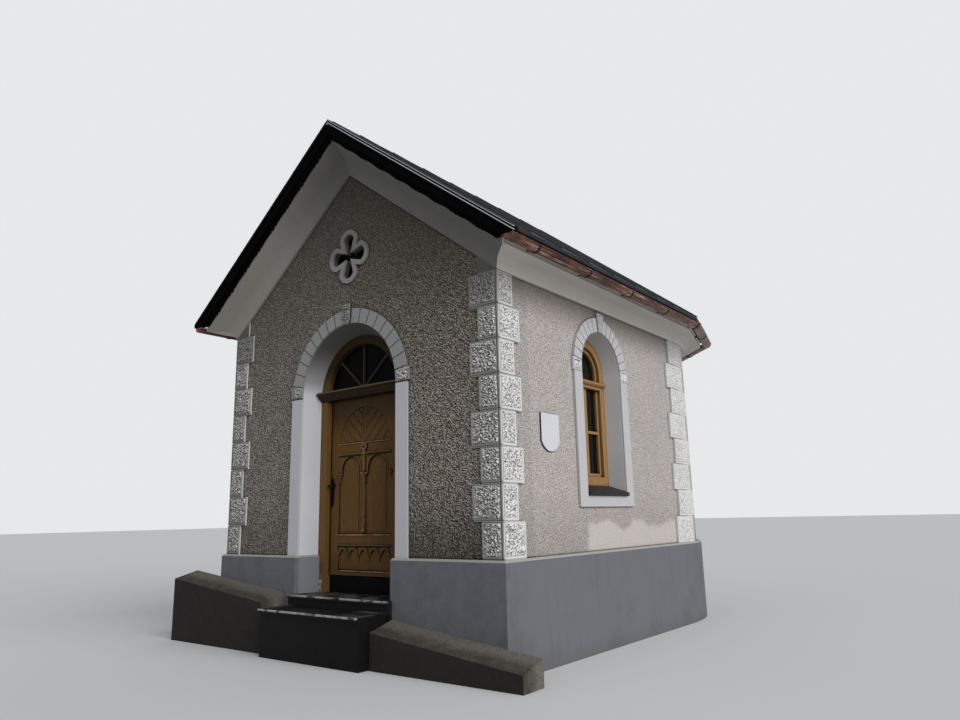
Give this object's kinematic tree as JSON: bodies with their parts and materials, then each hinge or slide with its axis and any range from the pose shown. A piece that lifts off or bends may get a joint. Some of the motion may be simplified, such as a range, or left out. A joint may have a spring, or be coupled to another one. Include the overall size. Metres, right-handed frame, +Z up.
{
  "type": "small chapel",
  "caption": "Small plastered chapel with a gabled nave, round apse, corner blocks, arched carved door that opens inward, arched side windows, deep soffits and copper gutters.",
  "frame": {"origin": "on the ground, under the centre of the round apse and on the middle line of the nave", "axes": "+Z up, +Y from the door towards the apse, +X to the right as seen from in front of the door"},
  "size_m": [5.265, 7.1106, 5.9605],
  "materials": {
    "foundation": "rough rubble and mortar",
    "floor": "plain stone floor",
    "step_stone": "dark stone with worn light edges",
    "footing_concrete": "weathered concrete",
    "plinth_plaster": "smooth blue-grey painted render",
    "front_plaster": "grey-brown rough-cast plaster",
    "side_plaster": "pale grey rough-cast plaster",
    "quoin_stone": "smooth margins and pebbled centres",
    "trim_plaster": "smooth pale paint",
    "soffit_plaster": "smooth pale paint",
    "door_wood": "ochre-brown varnish",
    "window_wood": "ochre-brown varnish",
    "dark_board": "near-black stain",
    "dark_sheet": "dark grey standing-seam sheet",
    "copper": "weathered red-brown copper",
    "black_paint": "black paint",
    "black_iron": "black",
    "dark_slate": "dark slate",
    "dark_glass": "clear glass before a dark room",
    "plaque_white": "satin white"
  },
  "bodies": {
    "chapel": {"apse_wall_1": "side_plaster", "apse_wall_2": "side_plaster", "apse_wall_3": "side_plaster", "apse_wall_4": "side_plaster", "bargeboards": "dark_board", "cross_border": "trim_plaster", "cross_pane": "dark_glass", "door_frame": "door_wood", "door_surround": "trim_plaster", "door_threshold": "black_paint", "fanlight_bars": "door_wood", "fanlight_glass": "dark_glass", "floor_base": "foundation", "floor_slab": "floor", "footing_left": "footing_concrete", "footing_right": "footing_concrete", "frame_hinges": "black_iron", "front_gable": "front_plaster", "front_wall_left": "front_plaster", "front_wall_right": "front_plaster", "gutter_apse": "copper", "gutter_brackets": "copper", "gutter_left": "copper", "gutter_right": "copper", "lower_step": "step_stone", "plinth_apse": "plinth_plaster", "plinth_front_left": "plinth_plaster", "plinth_front_right": "plinth_plaster", "plinth_side_left": "plinth_plaster", "plinth_side_right": "plinth_plaster", "quoins_front_left": "quoin_stone", "quoins_front_right": "quoin_stone", "quoins_rear_left": "quoin_stone", "quoins_rear_right": "quoin_stone", "ridge_cap": "dark_sheet", "roof_apse": "dark_sheet", "roof_left": "dark_sheet", "roof_right": "dark_sheet", "side_wall_left": "side_plaster", "side_wall_right": "side_plaster", "soffit_apse": "soffit_plaster", "soffit_front": "soffit_plaster", "soffit_left": "soffit_plaster", "soffit_right": "soffit_plaster", "upper_step": "step_stone", "verge_trims": "dark_sheet", "wall_plaque": "plaque_white", "window_frame_left": "window_wood", "window_frame_right": "window_wood", "window_glass": "dark_glass", "window_sills": "dark_slate", "window_surrounds": "trim_plaster"},
    "door": {"door_leaf": "door_wood", "door_handle": "black_iron", "leaf_hinges": "black_iron"}
  },
  "joints": [
    {"name": "door_hinge", "type": "hinge", "parent": "chapel", "child": "door", "pos_m": [0.578, -3.681, 1.6], "axis": [0, 0, -1], "range_deg": [0, 95]}
  ]
}
